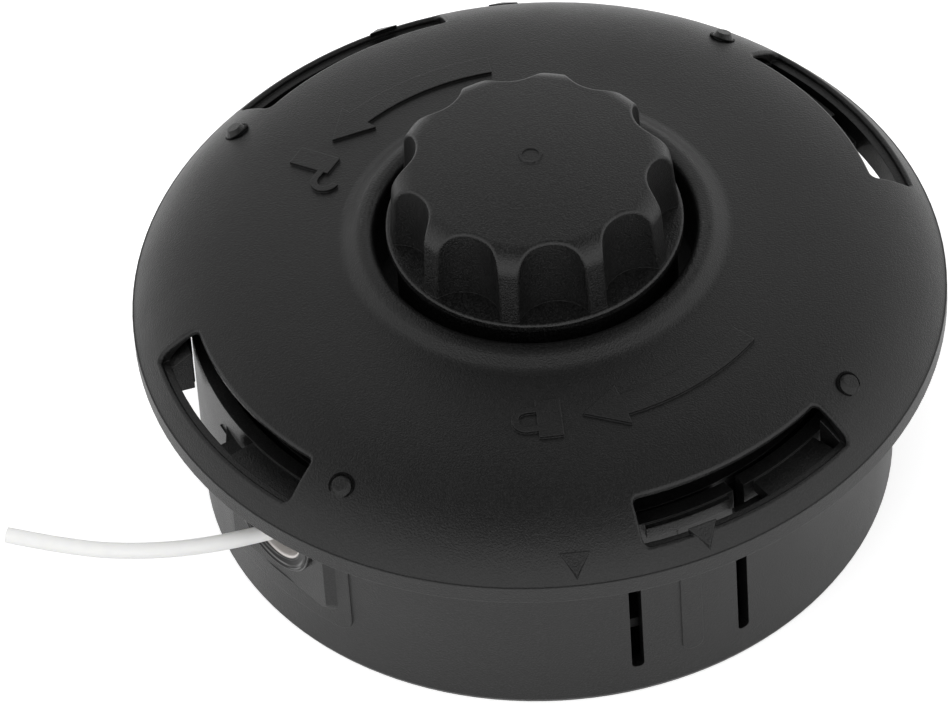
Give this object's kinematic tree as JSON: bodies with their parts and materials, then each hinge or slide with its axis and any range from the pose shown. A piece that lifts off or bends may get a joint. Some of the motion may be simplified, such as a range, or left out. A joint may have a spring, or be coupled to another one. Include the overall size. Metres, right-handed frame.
{
  "type": "bump-feed trimmer head with line spool",
  "caption": "Round bump-feed trimmer head: drum with eyelets, domed bayonet cover with lock signs, fluted bump knob, and a sprung line spool inside.",
  "frame": {"origin": "on the drive axis in the plane of the drum's flat end, which the head stands on", "axes": "+Z along the drive axis from the drive side to the bump knob, -Y towards the picture's camera"},
  "size_m": [0.1403, 0.12, 0.0615],
  "materials": {
    "housing_plastic": "fine grained moulding",
    "cover_plastic": "fine grained moulding",
    "knob_plastic": "fine grained moulding",
    "spool_plastic": "plain moulding",
    "nylon_line": "drawn nylon",
    "eyelet_metal": "rolled, worn bright",
    "insert_steel": "turned, zinc plated",
    "spring_steel": "drawn wire"
  },
  "bodies": {
    "housing": {"housing": "housing_plastic", "drive_insert": "insert_steel", "eyelet_front": "eyelet_metal", "eyelet_rear": "eyelet_metal", "line_tail_front": "nylon_line", "line_end_rear": "nylon_line", "spring": "spring_steel"},
    "cover": {"cover": "cover_plastic"},
    "press_carrier": {"thrust_washer": "insert_steel"},
    "spool": {"spool": "spool_plastic", "line_winding": "nylon_line", "bump_knob": "knob_plastic"}
  },
  "joints": [
    {"name": "cover_turn", "type": "hinge", "parent": "housing", "child": "cover", "pos_m": [0, 0, 0.034], "axis": [0, 0, 1], "range_deg": [0, 19]},
    {"name": "bump_press", "type": "slide", "parent": "housing", "child": "press_carrier", "axis": [0, 0, -1], "range_m": [0, 0.006], "stiffness_N_per_m": 2000, "springref_m": -0.004, "deforming": ["spring"]},
    {"name": "spool_turn", "type": "hinge", "parent": "press_carrier", "child": "spool", "pos_m": [0, 0, 0.03], "axis": [0, 0, 1], "range_deg": [0, 30]}
  ]
}
